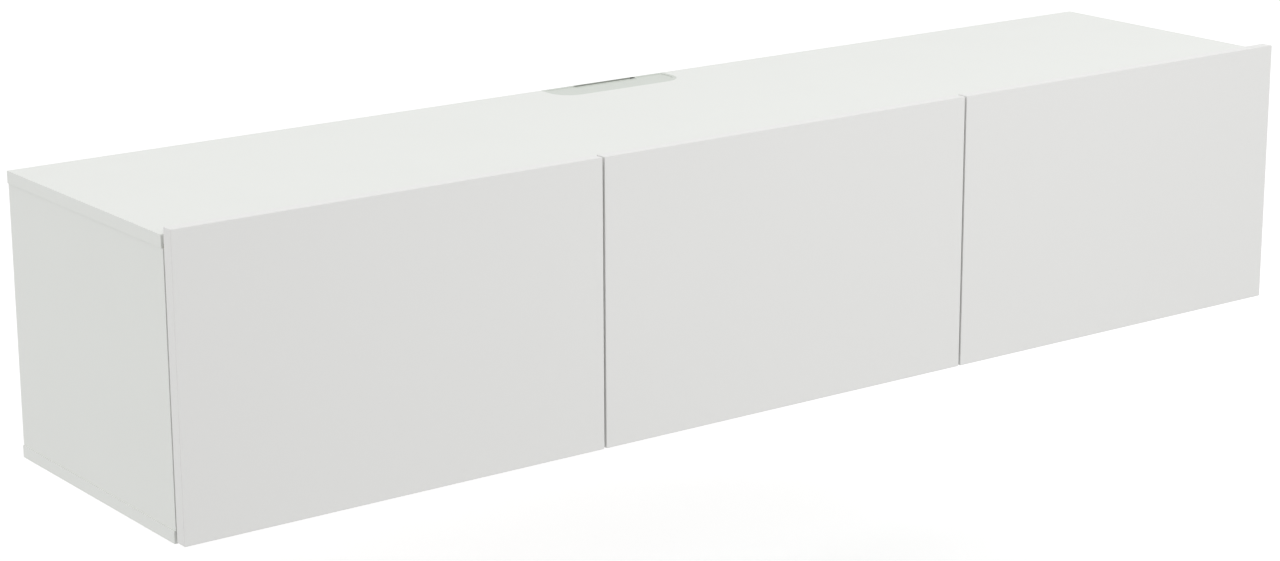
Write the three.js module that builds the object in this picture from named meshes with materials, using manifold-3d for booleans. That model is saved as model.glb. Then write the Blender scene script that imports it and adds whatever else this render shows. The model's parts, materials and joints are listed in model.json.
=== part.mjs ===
// Wall-hung media console with three plain push-to-open doors.
// Millimetres, +Z up, +X to the right, +Y towards the wall.
// The origin lies on the wall plane, at the middle of the suspension rail.
// The carcass is drawn from its own underside up, and then set at its height on the rail.
import * as THREE from 'three';
import { mergeVertices } from 'three/addons/utils/BufferGeometryUtils.js';
import Module from 'manifold-3d';

const wasm = await Module();
wasm.setup();

// Carcass
const overallWidth = 1800;
const carcassDepth = 400;
const carcassHeight = 370;
const panelThickness = 16;
const topOverhang = 1.4;
const frontSetBack = 1.5;
const cutOverrun = 5;

// Doors
const doorThickness = 18;
const doorRise = 2;
const doorTopReach = 10;
const doorGap = 3;
const doorStandOff = 2;
const doorEdgeRadius = 0.9;

// Back panel, held in grooves
const backThickness = 3;
const backRecess = 18;
const grooveDepth = 5;
const grooveClearance = 0.2;
const cableCutWidth = 90;
const cableCutHeight = 56;
const cableCutRadius = 14;
const cableCutCentreRise = 110;

// Dowels that join uprights to the top and the bottom
const dowelRadius = 4;
const dowelLength = 10;
const dowelEndClearance = 1.2;
const dowelClearance = 0.2;
const dowelSides = 6;
const dowelPlaceShares = [0.16, 0.5, 0.84];

// Rows of shelf-pin holes
const pinHoleRadius = 2.5;
const pinHoleDepth = 7;
const pinHolePitch = 32;
const pinHoleSides = 6;
const pinHolesPerRow = 3;
const frontRowInset = 37;
const rearRowInset = 54;

// Shelves and their pins
const shelfThickness = 16;
const shelfSideClearance = 1;
const shelfFrontInset = 20;
const shelfRearClearance = 2;
const pinClearance = 0.15;
const pinEndClearance = 1;
const pinReach = 8;
const pinSeat = 0.6;

// Suspension rail, and the hangers that hook over its lip
const railDrop = 50;
const railHeight = 40;
const railSheet = 2.5;
const railLipHeight = 12;
const railLipOffset = 6.5;
const railEndClearance = 2.6;
const railSlotLength = 22;
const railSlotWidth = 7;
const railSlotRadius = 3.3;
const railSlotPlaceShares = [-0.92, -0.62, -0.32, 0.32, 0.62, 0.92];
const hangerThickness = 3;
const hangerLength = 60;
const hangerDrop = 36;
const hangerHookDrop = 11;
const hangerHeadHeight = 9.8;
const hangerSeatClearance = 0.2;
const hangerHookClearance = 0.8;
const hangerWallClearance = 2.7;
const hangerPanelClearance = 2;
const hangerSlotClearance = 1;
const hangerScrewRadius = 2.6;
const hangerScrewShares = [0.28, 0.76];

// Cable outlet in the rear edge of the top
const outletWidth = 208;
const outletDepth = 55;
const outletCornerRadius = 32;
const outletClearance = 0.3;
const outletFlange = 3;
const outletLedge = 5;
const outletRim = 5;
const outletDish = 0.9;
const outletSkirtWall = 1.6;
const outletSlotWidth = 104;
const outletSlotDepth = 10;
const outletSlotRadius = 2.5;
const outletCornerSteps = 5;
const outletLedgeSteps = 4;

// Concealed hinges: places are across the door from its hinge edge (w) and out from its back (q)
const hingeRiseFromEdge = 80;
const cupInset = 22.5;
const cupRadius = 17.5;
const cupWall = 1.1;
const cupFloor = 0.8;
const cupPocketDepth = 11.9;
const cupBoreClearance = 0.2;
const cupFlangeThickness = 1;
const cupFlangeRadius = 19.6;
const cupEarHalfHeight = 30;
const cupEarInset = 20.5;
const cupEarWidth = 14;
const cupEarRadius = 5;
const cupNotchDepth = 0.4;
const cupSides = 20;
const armPivotOuter = [29.8, -13.8];
const armPivotInner = [42, -4.4];
const cupPivotOuter = [10, 3];
const cupPivotInner = [15.4, 2.8];
const outerLinkKnee = [16.9, 8];
const innerLinkKnee = [22.4, 1.3];
const linkSheet = 2.2;
const linkEyeRadius = 2.2;
const linkEyeSides = 8;
const linkEndSides = 6;
const linkSideClearance = 0.3;
const hingePinRadius = 1.2;
const hingePinSides = 8;
const hingePinClearance = 0.12;
const outerLinkHalfWidth = 6.4;
const outerLinkCheek = 3;
const innerLinkHalfWidth = 2.9;
const armCheekInside = 6.8;
const armCheekThickness = 1.6;
const armNoseRadius = 3;
const armHeight = 11.2;
const armWebThickness = 1.5;
const armWebFront = 26;
const armTail = 72;
const armSeatClearance = 0.3;
const plateThickness = 2.5;
const plateScrewInset = 37;
const plateWingHalfHeight = 24;
const plateWingWidth = 14;
const plateWingRadius = 5;
const plateHalfHeight = 9;
const plateFront = 27;
const plateRear = 66;
const saddleHalfHeight = 6.4;
const saddleFront = 32;
const saddleRear = 62;

// Push latches on the free side of each bay
const latchDrop = 32;
const latchWidth = 13;
const latchHeight = 15;
const latchLength = 76;
const latchCornerRadius = 3;
const latchFrontInset = 2;
const latchBoreRadius = 5.2;
const latchBoreDepth = 68;
const latchEarHeight = 32;
const latchEarLength = 20;
const latchEarThickness = 2;
const latchSides = 12;
const plungerShaftRadius = 4;
const plungerCollarRadius = 5;
const plungerCollarLength = 8;
const plungerLength = 62;
const plungerTipGap = 0.3;
const plungerTipRadius = 4.6;
const plungerTipLength = 5;
const plungerNoseShare = 0.7;
const plungerNoseLengthShare = 0.3;
const strikeRadius = 9;
const strikeThickness = 1.5;
const strikeEdge = 0.4;

// Colours and finishes
const whiteFoil = { color: 0xe4e5e3, roughness: 0.42, metalness: 0 };
const whiteLacquer = { color: 0xe6e6e4, roughness: 0.36, metalness: 0 };
const paleBoard = { color: 0xd9dad6, roughness: 0.7, metalness: 0 };
const paleMoulding = { color: 0xdfe3dd, roughness: 0.5, metalness: 0 };
const zincSteel = { color: 0xb4b7b9, roughness: 0.35, metalness: 0.9 };
const nickelPlate = { color: 0xc3c4c2, roughness: 0.25, metalness: 0.95 };
const greyMoulding = { color: 0x9a9d9f, roughness: 0.55, metalness: 0 };

// Places that follow from the sizes above
const bayPitch = overallWidth / 3;
const sideOuter = overallWidth / 2 - topOverhang;
const sideInner = sideOuter - panelThickness;
const partitionPlace = bayPitch / 2;
const partitionFace = panelThickness / 2;
const innerFloor = panelThickness;
const innerCeiling = carcassHeight - panelThickness;
const carcassFront = -carcassDepth;
const boardFront = carcassFront + frontSetBack;
const backRear = -backRecess;
const backFront = backRear - backThickness;
const doorWidth = bayPitch - doorGap;
const doorHeight = carcassHeight + doorTopReach - doorRise;
const doorBack = carcassFront - doorStandOff;
const rowMiddleRise = carcassHeight / 2;
const railCentreRise = carcassHeight - railDrop;
const latchRise = innerCeiling - latchDrop;

const bays = [
  { name: 'left', middle: -bayPitch, low: -sideInner, high: -partitionPlace - partitionFace, hungOn: -1 },
  { name: 'centre', middle: 0, low: -partitionPlace + partitionFace, high: partitionPlace - partitionFace,
    hungOn: -1 },
  { name: 'right', middle: bayPitch, low: partitionPlace + partitionFace, high: sideInner, hungOn: 1 },
];

// Turns a closed three.js geometry into a solid that can be cut and joined.
function toSolid(geometry) {
  const bare = geometry.clone();
  bare.deleteAttribute('normal');
  bare.deleteAttribute('uv');
  const merged = mergeVertices(bare);
  return new wasm.Manifold(new wasm.Mesh({
    numProp: 3,
    vertProperties: Float32Array.from(merged.attributes.position.array),
    triVerts: Uint32Array.from(merged.index.array),
  }));
}

function toGeometry(solid) {
  const mesh = solid.getMesh();
  const geometry = new THREE.BufferGeometry();
  geometry.setAttribute('position', new THREE.BufferAttribute(Float32Array.from(mesh.vertProperties), 3));
  geometry.setIndex(new THREE.BufferAttribute(Uint32Array.from(mesh.triVerts), 1));
  return geometry;
}

function join(solids) {
  return solids.reduce((whole, solid) => whole.add(solid));
}

function cut(solid, tools) {
  return tools.reduce((whole, tool) => whole.subtract(tool), solid);
}

// A block between a low and a high value on each axis.
function block(x, y, z) {
  const geometry = new THREE.BoxGeometry(x[1] - x[0], y[1] - y[0], z[1] - z[0]);
  geometry.translate((x[0] + x[1]) / 2, (y[0] + y[1]) / 2, (z[0] + z[1]) / 2);
  return toSolid(geometry);
}

// A round bar along one axis; first and second are its centre on the other two, in the order x, y, z.
function bar(axis, radius, sides, from, to, first, second) {
  const geometry = new THREE.CylinderGeometry(radius, radius, to - from, sides);
  const middle = (from + to) / 2;
  if (axis === 'x') {
    geometry.rotateZ(Math.PI / 2);
    geometry.translate(middle, first, second);
  } else if (axis === 'y') {
    geometry.translate(first, middle, second);
  } else {
    geometry.rotateX(Math.PI / 2);
    geometry.translate(first, second, middle);
  }
  return toSolid(geometry);
}

// Each plane turns an outline's two axes, and the way it is extruded, into the part's axes.
const planes = {
  xy: new THREE.Matrix4().identity(),
  yz: new THREE.Matrix4().makeBasis(
    new THREE.Vector3(0, 1, 0), new THREE.Vector3(0, 0, 1), new THREE.Vector3(1, 0, 0)),
  xz: new THREE.Matrix4().makeBasis(
    new THREE.Vector3(1, 0, 0), new THREE.Vector3(0, 0, 1), new THREE.Vector3(0, -1, 0)),
};

// A prism on an outline. In the xz plane it grows towards the front, so from and to are depths there.
function prism(plane, outline, from, to, curveSegments = 2) {
  const geometry = new THREE.ExtrudeGeometry(outline, {
    depth: to - from, bevelEnabled: false, curveSegments,
  });
  geometry.translate(0, 0, from);
  geometry.applyMatrix4(planes[plane]);
  return toSolid(geometry);
}

function outlineOf(points) {
  return new THREE.Shape(points.map(([u, v]) => new THREE.Vector2(u, v)));
}

// A rectangle with round corners between a low and a high value on its two axes.
function roundedOutline(u, v, radius) {
  const shape = new THREE.Shape();
  shape.moveTo(u[0] + radius, v[0]);
  shape.lineTo(u[1] - radius, v[0]);
  shape.absarc(u[1] - radius, v[0] + radius, radius, -Math.PI / 2, 0);
  shape.lineTo(u[1], v[1] - radius);
  shape.absarc(u[1] - radius, v[1] - radius, radius, 0, Math.PI / 2);
  shape.lineTo(u[0] + radius, v[1]);
  shape.absarc(u[0] + radius, v[1] - radius, radius, Math.PI / 2, Math.PI);
  shape.lineTo(u[0], v[0] + radius);
  shape.absarc(u[0] + radius, v[0] + radius, radius, Math.PI, 1.5 * Math.PI);
  return shape;
}

// Half the width of a round wall at a distance from its centre.
function halfChord(radius, offset) {
  return Math.sqrt(radius ** 2 - offset ** 2);
}

function addMesh(parent, name, solid, finish) {
  const mesh = new THREE.Mesh(toGeometry(solid), new THREE.MeshStandardMaterial(finish));
  mesh.name = name;
  parent.add(mesh);
  return mesh;
}

// The four uprights, each with the faces that look into a bay and the depth at which it ends.
const uprights = [
  { name: 'left_side', x: [-sideOuter, -sideInner], inward: [1], rear: 0 },
  { name: 'left_partition', x: [-partitionPlace - partitionFace, -partitionPlace + partitionFace],
    inward: [-1, 1], rear: backFront },
  { name: 'right_partition', x: [partitionPlace - partitionFace, partitionPlace + partitionFace],
    inward: [-1, 1], rear: backFront },
  { name: 'right_side', x: [sideInner, sideOuter], inward: [-1], rear: 0 },
];

function dowelPlaces() {
  const middles = uprights.map((upright) => (upright.x[0] + upright.x[1]) / 2);
  return middles.flatMap((x) => dowelPlaceShares.map((share) => [x, carcassFront * share]));
}

function dowelBores(from, to) {
  return dowelPlaces().map(([x, y]) => bar('z', dowelRadius + dowelClearance, dowelSides, from, to, x, y));
}

// The front row is set in from the carcass's front, and the rear row from the back panel.
const rowPlaces = [carcassFront + frontRowInset, backFront - rearRowInset];

function pinHoles(upright) {
  const holes = [];
  for (const inward of upright.inward) {
    const face = inward > 0 ? upright.x[1] : upright.x[0];
    const ends = [face - inward * pinHoleDepth, face + inward * cutOverrun].sort((a, b) => a - b);
    for (const y of rowPlaces) {
      for (let step = 0; step < pinHolesPerRow; step += 1) {
        const z = rowMiddleRise + (step - (pinHolesPerRow - 1) / 2) * pinHolePitch;
        holes.push(bar('x', pinHoleRadius, pinHoleSides, ends[0], ends[1], y, z));
      }
    }
  }
  return holes;
}

// Both faces of a partition have the same rows, so their holes are kept shallow enough not to meet.
function makeUpright(upright) {
  const board = block(upright.x, [carcassFront, upright.rear], [innerFloor, innerCeiling]);
  const middle = (upright.x[0] + upright.x[1]) / 2;
  const dowels = dowelPlaceShares.map((share) => bar('z', dowelRadius, dowelSides,
    innerFloor - dowelLength, innerCeiling + dowelLength, middle, carcassFront * share));
  const cuts = pinHoles(upright);
  if (upright.rear === 0) {
    cuts.push(panelGroove(upright));
  }
  return cut(join([board, ...dowels]), cuts);
}

// The groove in a side that takes the back panel's upright edge.
function panelGroove(side) {
  const inward = side.inward[0];
  const face = inward > 0 ? side.x[1] : side.x[0];
  const across = [face - inward * grooveDepth, face + inward * cutOverrun].sort((a, b) => a - b);
  return block(across, [backFront - grooveClearance, backRear + grooveClearance],
    [innerFloor - cutOverrun, innerCeiling + cutOverrun]);
}

function levelGroove(z) {
  return block([-sideInner - grooveDepth, sideInner + grooveDepth],
    [backFront - grooveClearance, backRear + grooveClearance], z);
}

// The outlet's outline: straight at the wall, with two large round corners towards the front.
function outletOutline(inset, rear) {
  const half = outletWidth / 2 - inset;
  const front = -(outletDepth - inset);
  const radius = outletCornerRadius - inset;
  const shape = new THREE.Shape();
  shape.moveTo(-half, rear);
  shape.lineTo(-half, front + radius);
  shape.absarc(-half + radius, front + radius, radius, Math.PI, 1.5 * Math.PI);
  shape.lineTo(half - radius, front);
  shape.absarc(half - radius, front + radius, radius, -Math.PI / 2, 0);
  shape.lineTo(half, rear);
  return shape;
}

function makeTop() {
  const board = block([-overallWidth / 2, overallWidth / 2], [boardFront, 0], [innerCeiling, carcassHeight]);
  const flangeFloor = carcassHeight - outletFlange - outletClearance;
  return cut(board, [
    prism('xy', outletOutline(-outletClearance, cutOverrun), flangeFloor, carcassHeight + cutOverrun,
      outletCornerSteps),
    prism('xy', outletOutline(outletLedge, cutOverrun), innerCeiling - cutOverrun, carcassHeight,
      outletLedgeSteps),
    levelGroove([innerCeiling - cutOverrun, innerCeiling + grooveDepth]),
    ...dowelBores(innerCeiling - cutOverrun, innerCeiling + dowelLength + dowelEndClearance),
  ]);
}

function makeBottom() {
  const board = block([-overallWidth / 2, overallWidth / 2], [boardFront, 0], [0, innerFloor]);
  return cut(board, [
    levelGroove([innerFloor - grooveDepth, innerFloor + cutOverrun]),
    ...dowelBores(innerFloor - dowelLength - dowelEndClearance, innerFloor + cutOverrun),
  ]);
}

// Every upright carries one hanger; this is the face it is screwed to, and the way it stands off it.
const hangers = [
  { name: 'left_side_hanger', face: -sideInner, out: 1 },
  { name: 'left_partition_hanger', face: -partitionPlace + partitionFace, out: 1 },
  { name: 'right_partition_hanger', face: partitionPlace - partitionFace, out: -1 },
  { name: 'right_side_hanger', face: sideInner, out: -1 },
];

const lipTop = railCentreRise + railHeight / 2;
const lipFront = -(railLipOffset + railSheet);
const hangerTop = lipTop + hangerSeatClearance + hangerHeadHeight;
const hangerRear = backFront - hangerPanelClearance;

function hangerAcross(hanger, margin) {
  return [hanger.face - hanger.out * margin, hanger.face + hanger.out * (hangerThickness + margin)]
    .sort((a, b) => a - b);
}

function makeBackPanel() {
  const half = sideInner + grooveDepth - grooveClearance;
  const rise = [innerFloor - grooveDepth + grooveClearance, innerCeiling + grooveDepth - grooveClearance];
  const board = block([-half, half], [backFront, backRear], rise);
  const depths = [backRecess - cutOverrun, backRecess + backThickness + cutOverrun];
  const cableCuts = bays.map((bay) => prism('xz', roundedOutline(
    [bay.middle - cableCutWidth / 2, bay.middle + cableCutWidth / 2],
    [cableCutCentreRise - cableCutHeight / 2, cableCutCentreRise + cableCutHeight / 2],
    cableCutRadius), depths[0], depths[1]));
  const hangerSlots = hangers.map((hanger) => block(hangerAcross(hanger, hangerSlotClearance),
    [backFront - cutOverrun, backRear + cutOverrun],
    [lipTop - hangerHookDrop - hangerSlotClearance, hangerTop + hangerSlotClearance]));
  return cut(board, [...cableCuts, ...hangerSlots]);
}

// A moulded insert: a dished flange on the ledge, a skirt that ends above the back panel's edge,
// and a slot for cables with a thin wall behind it.
function makeOutletTrim() {
  const flangeFloor = carcassHeight - outletFlange;
  const skirtFloor = innerCeiling + grooveDepth + outletClearance;
  const skirtInset = outletLedge + outletClearance;
  const flange = prism('xy', outletOutline(0, 0), flangeFloor, carcassHeight, outletCornerSteps);
  const dish = prism('xy', outletOutline(outletRim, -outletRim), carcassHeight - outletDish,
    carcassHeight + cutOverrun, outletCornerSteps);
  const skirt = prism('xy', outletOutline(skirtInset, 0), skirtFloor, flangeFloor)
    .subtract(prism('xy', outletOutline(skirtInset + outletSkirtWall, -outletSkirtWall),
      skirtFloor - cutOverrun, flangeFloor));
  const slotHalf = outletSlotWidth / 2;
  const collarOutline = roundedOutline([-slotHalf - outletSkirtWall, slotHalf + outletSkirtWall],
    [-outletSlotDepth - outletSkirtWall, outletSlotDepth], outletSlotRadius + outletSkirtWall);
  const collar = prism('xy', collarOutline, skirtFloor, carcassHeight)
    .intersect(block([-outletWidth, outletWidth], [-outletDepth, 0], [0, carcassHeight]));
  const slotOutline = roundedOutline([-slotHalf, slotHalf], [-outletSlotDepth, -outletSkirtWall],
    outletSlotRadius);
  return join([flange.subtract(dish), skirt, collar])
    .subtract(prism('xy', slotOutline, skirtFloor - cutOverrun, carcassHeight + cutOverrun));
}

// The shelf with its four pins, which lie half sunk in notches under it.
function makeShelf(bay) {
  const across = [bay.low + shelfSideClearance, bay.high - shelfSideClearance];
  const pinRadius = pinHoleRadius - pinClearance;
  const underside = rowMiddleRise + pinRadius - pinSeat;
  const board = block(across, [carcassFront + shelfFrontInset, backFront - shelfRearClearance],
    [underside, underside + shelfThickness]);
  const sunk = pinHoleDepth - pinEndClearance;
  const pins = rowPlaces.flatMap((y) => [
    bar('x', pinRadius, pinHoleSides, bay.low - sunk, bay.low + pinReach, y, rowMiddleRise),
    bar('x', pinRadius, pinHoleSides, bay.high - pinReach, bay.high + sunk, y, rowMiddleRise),
  ]);
  return join([board, ...pins]);
}

// A rolled rail: a flange on the wall, a step forward, and a lip that the hangers hook over.
function makeRail() {
  const half = sideInner - railEndClearance;
  const foot = railCentreRise - railHeight / 2;
  const step = lipTop - railLipHeight;
  const profile = outlineOf([
    [0, foot], [0, step], [-railLipOffset, step], [-railLipOffset, lipTop], [lipFront, lipTop],
    [lipFront, step - railSheet], [-railSheet, step - railSheet], [-railSheet, foot],
  ]);
  const slots = railSlotPlaceShares.map((share) => {
    const middle = share * half;
    return prism('xz', roundedOutline([middle - railSlotLength / 2, middle + railSlotLength / 2],
      [railCentreRise - railSlotWidth, railCentreRise], railSlotRadius),
    -cutOverrun, railSheet + cutOverrun);
  });
  return cut(prism('yz', profile, -half, half), slots);
}

function makeHanger(hanger) {
  const across = hangerAcross(hanger, 0);
  const front = hangerRear - hangerLength;
  const hookFront = -railLipOffset + hangerHookClearance;
  const ceiling = lipTop + hangerSeatClearance;
  const outline = outlineOf([
    [front, railCentreRise - hangerDrop / 2], [hangerRear, railCentreRise - hangerDrop / 2],
    [hangerRear, ceiling], [hookFront, ceiling], [hookFront, lipTop - hangerHookDrop],
    [-hangerWallClearance, lipTop - hangerHookDrop], [-hangerWallClearance, hangerTop], [front, hangerTop],
  ]);
  const screwHoles = hangerScrewShares.map((share) => bar('x', hangerScrewRadius, linkEyeSides,
    across[0] - cutOverrun, across[1] + cutOverrun, front + share * hangerLength, railCentreRise));
  return cut(prism('yz', outline, across[0], across[1]), screwHoles);
}

// A lacquered board with softly rounded edges and a bore in its back for each hinge cup.
function makeDoor(bay) {
  const half = doorWidth / 2;
  const radius = doorEdgeRadius;
  const outline = roundedOutline([bay.middle - half + radius, bay.middle + half - radius],
    [doorRise + radius, doorRise + doorHeight - radius], radius);
  const geometry = new THREE.ExtrudeGeometry(outline, {
    depth: doorThickness - 2 * radius, bevelEnabled: true, bevelThickness: radius, bevelSize: radius,
    bevelSegments: 2, curveSegments: 1,
  });
  geometry.translate(0, 0, carcassDepth + doorStandOff + radius);
  geometry.applyMatrix4(planes.xz);
  const cupCentre = bay.middle + bay.hungOn * (half - cupInset);
  const boreFloor = doorBack - (cupPocketDepth + cupFloor + cupBoreClearance);
  const bores = hingeRises.map(([, rise]) => bar('y', cupRadius + cupBoreClearance, cupSides,
    boreFloor, doorBack + cutOverrun, cupCentre, rise));
  return cut(toSolid(geometry), bores);
}

const hingeRises = [['lower', hingeRiseFromEdge], ['upper', carcassHeight - hingeRiseFromEdge]];

// A hinge is drawn for a door hung on its left: x runs across the door from its hinge edge,
// y runs from the door's back into the bay, and z is measured from the hinge's middle.
function place([across, out]) {
  return [across, -out];
}

function shiftedRing(centre, radius, sides) {
  const points = [];
  for (let step = 0; step < sides; step += 1) {
    const angle = (step + 0.5) * 2 * Math.PI / sides;
    points.push([centre[0] + radius * Math.cos(angle), centre[1] + radius * Math.sin(angle)]);
  }
  return points;
}

// The smallest outline that holds all the points.
function hullOutline(points) {
  const sorted = [...points].sort((a, b) => a[0] - b[0] || a[1] - b[1]);
  const side = (list) => {
    const kept = [];
    for (const point of list) {
      while (kept.length > 1) {
        const [a, b] = kept.slice(-2);
        const turn = (b[0] - a[0]) * (point[1] - a[1]) - (b[1] - a[1]) * (point[0] - a[0]);
        if (turn > 0) {
          break;
        }
        kept.pop();
      }
      kept.push(point);
    }
    return kept.slice(0, -1);
  };
  return outlineOf([...side(sorted), ...side(sorted.reverse())]);
}

// A strip of sheet between two points, with round ends.
function strip(from, to, z) {
  const radius = linkSheet / 2;
  const ends = [from, to].flatMap((end) => shiftedRing(end, radius, linkEndSides));
  const outline = hullOutline(ends);
  return prism('xy', outline, z[0], z[1]);
}

// One layer of a link: two strips that meet at the knee, with an eye at each end.
function linkLayer(arm, knee, cup, z) {
  return join([
    strip(arm, knee, z), strip(knee, cup, z),
    bar('z', linkEyeRadius, linkEyeSides, z[0], z[1], arm[0], arm[1]),
    bar('z', linkEyeRadius, linkEyeSides, z[0], z[1], cup[0], cup[1]),
  ]);
}

function linkBore(centre, half) {
  return bar('z', hingePinRadius + hingePinClearance, hingePinSides, -half - cutOverrun, half + cutOverrun,
    centre[0], centre[1]);
}

// The outer link has two cheeks, joined by the barrel that turns on the arm's pin.
function makeOuterLink() {
  const [arm, knee, cup] = [armPivotOuter, outerLinkKnee, cupPivotOuter].map(place);
  const half = outerLinkHalfWidth;
  const barrel = bar('z', linkEyeRadius, linkEyeSides, -half, half, arm[0], arm[1]);
  return cut(join([
    linkLayer(arm, knee, cup, [half - outerLinkCheek, half]),
    linkLayer(arm, knee, cup, [-half, outerLinkCheek - half]),
    barrel,
  ]), [linkBore(arm, half), linkBore(cup, half)]);
}

// The inner link is one strip between the outer link's cheeks.
function makeInnerLink() {
  const [arm, knee, cup] = [armPivotInner, innerLinkKnee, cupPivotInner].map(place);
  const half = innerLinkHalfWidth;
  return cut(linkLayer(arm, knee, cup, [-half, half]), [linkBore(arm, half), linkBore(cup, half)]);
}

// The pressed cup with its screw ears, and a notch in its rim that the links swing into. Each pin is
// a pair of stubs from the cup's wall: the outer link's cheeks turn on the first pair, and the inner
// link's eye ends between the second.
function makeCup() {
  const depth = cupPocketDepth + cupFloor;
  const inner = cupRadius - cupWall;
  const shell = join([
    bar('y', cupRadius, cupSides, -depth, cupFlangeThickness / 2, cupInset, 0),
    bar('y', cupFlangeRadius, cupSides, 0, cupFlangeThickness, cupInset, 0),
    prism('xz', roundedOutline([cupEarInset, cupEarInset + cupEarWidth],
      [-cupEarHalfHeight, cupEarHalfHeight], cupEarRadius), -cupFlangeThickness, 0),
  ]);
  const pocket = bar('y', inner, cupSides, -cupPocketDepth, cutOverrun, cupInset, 0);
  const notchHalf = outerLinkHalfWidth + linkSideClearance;
  const notch = block([cupInset - cupFlangeRadius - cutOverrun, cupInset], [-cupNotchDepth, cutOverrun],
    [-notchHalf, notchHalf]);
  const outer = place(cupPivotOuter);
  const outerHalf = halfChord(inner, cupInset - outer[0]) + cupWall / 2;
  const innerPin = place(cupPivotInner);
  const innerHalf = halfChord(inner, cupInset - innerPin[0]) + cupWall / 2;
  const outerStart = innerLinkHalfWidth + linkSideClearance;
  const innerStart = outerLinkHalfWidth + linkSideClearance;
  return join([
    cut(shell, [pocket, notch]),
    bar('z', hingePinRadius, hingePinSides, outerStart, outerHalf, outer[0], outer[1]),
    bar('z', hingePinRadius, hingePinSides, -outerHalf, -outerStart, outer[0], outer[1]),
    bar('z', hingePinRadius, hingePinSides, innerStart, innerHalf, innerPin[0], innerPin[1]),
    bar('z', hingePinRadius, hingePinSides, -innerHalf, -innerStart, innerPin[0], innerPin[1]),
  ]);
}

// A channel on the plate's saddle, whose cheeks run forward to a nose that holds both pins.
function makeArm(face) {
  const foot = face + plateThickness + armSeatClearance;
  const crown = foot + armHeight;
  const [outer, inner] = [armPivotOuter, armPivotInner].map(place);
  const cheek = hullOutline([
    [foot, armTail], [crown, armTail], [foot, armWebFront], [crown, armWebFront],
    ...shiftedRing(outer, armNoseRadius, linkEyeSides), ...shiftedRing(inner, armNoseRadius, linkEyeSides),
  ]);
  const outside = armCheekInside + armCheekThickness;
  const pin = (centre) => bar('z', hingePinRadius, hingePinSides, -outside, outside, centre[0], centre[1]);
  return join([
    prism('xy', cheek, armCheekInside, outside),
    prism('xy', cheek, -outside, -armCheekInside),
    block([crown - armWebThickness, crown], [armWebFront, armTail], [-outside, outside]),
    pin(outer), pin(inner),
  ]);
}

// The plate lies on the upright with its wings on the front row's line, and carries the saddle.
function makeMountPlate(face) {
  const screwLine = doorStandOff + plateScrewInset;
  const saddleTop = face + plateThickness + armHeight - armWebThickness;
  const base = prism('yz', roundedOutline([plateFront, plateRear], [-plateHalfHeight, plateHalfHeight],
    plateWingRadius), face, face + plateThickness);
  const wings = prism('yz', roundedOutline(
    [screwLine - plateWingWidth / 2, screwLine + plateWingWidth / 2],
    [-plateWingHalfHeight, plateWingHalfHeight], plateWingRadius), face, face + plateThickness);
  const saddle = block([face, saddleTop], [saddleFront, saddleRear], [-saddleHalfHeight, saddleHalfHeight]);
  return join([base, wings, saddle]);
}

function addHinges(parent, bay) {
  const edge = bay.middle + bay.hungOn * doorWidth / 2;
  const face = Math.abs((bay.hungOn < 0 ? bay.low : bay.high) - edge);
  for (const [level, rise] of hingeRises) {
    const hinge = new THREE.Group();
    hinge.position.set(edge, doorBack, rise);
    hinge.scale.x = -bay.hungOn;
    const name = `${bay.name}_${level}_hinge`;
    addMesh(hinge, `${name}_plate`, makeMountPlate(face), zincSteel);
    addMesh(hinge, `${name}_arm`, makeArm(face), nickelPlate);
    addMesh(hinge, `${name}_outer_link`, makeOuterLink(), zincSteel);
    addMesh(hinge, `${name}_inner_link`, makeInnerLink(), zincSteel);
    addMesh(hinge, `${name}_cup`, makeCup(), nickelPlate);
    parent.add(hinge);
  }
}

// A latch is drawn on an upright whose face is at x = 0, standing off towards +x.
function makeLatchHousing() {
  const front = carcassFront + latchFrontInset;
  const ear = [front + (latchLength - latchEarLength) / 2, front + (latchLength + latchEarLength) / 2];
  const body = prism('xz', roundedOutline([0, latchWidth], [-latchHeight / 2, latchHeight / 2],
    latchCornerRadius), -front - latchLength, -front);
  const ears = block([0, latchEarThickness], ear, [-latchEarHeight / 2, latchEarHeight / 2]);
  return join([body, ears]).subtract(bar('y', latchBoreRadius, latchSides, front - cutOverrun,
    front + latchBoreDepth, latchWidth / 2, 0));
}

// Turns a profile of radius and length about the latch's own line, which runs from front to back.
function turned(profile, from) {
  const points = profile.map(([radius, along]) => new THREE.Vector2(radius, along));
  const geometry = new THREE.LatheGeometry(points, latchSides);
  geometry.translate(latchWidth / 2, from, 0);
  return toSolid(geometry);
}

// The plunger: a round-nosed tip, a slim shaft and a collar that runs in the housing's bore.
function makePlunger() {
  const profile = [
    [0, 0], [plungerTipRadius * plungerNoseShare, 0],
    [plungerTipRadius, plungerTipLength * plungerNoseLengthShare],
    [plungerTipRadius, plungerTipLength], [plungerShaftRadius, plungerTipLength],
    [plungerShaftRadius, plungerLength - plungerCollarLength],
    [plungerCollarRadius, plungerLength - plungerCollarLength], [plungerCollarRadius, plungerLength],
    [0, plungerLength],
  ];
  return turned(profile, doorBack + strikeThickness + plungerTipGap);
}

function makeStrike() {
  const profile = [[0, 0], [strikeRadius, 0], [strikeRadius, strikeThickness - strikeEdge],
    [strikeRadius - strikeEdge, strikeThickness], [0, strikeThickness]];
  return turned(profile, doorBack);
}

function addLatch(parent, bay) {
  const latch = new THREE.Group();
  latch.position.set(bay.hungOn < 0 ? bay.high : bay.low, 0, latchRise);
  latch.scale.x = bay.hungOn;
  addMesh(latch, `${bay.name}_latch_housing`, makeLatchHousing(), greyMoulding);
  addMesh(latch, `${bay.name}_latch_plunger`, makePlunger(), greyMoulding);
  addMesh(latch, `${bay.name}_latch_strike`, makeStrike(), zincSteel);
  parent.add(latch);
}

const mediaConsole = new THREE.Group();
mediaConsole.position.z = -railCentreRise;

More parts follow.
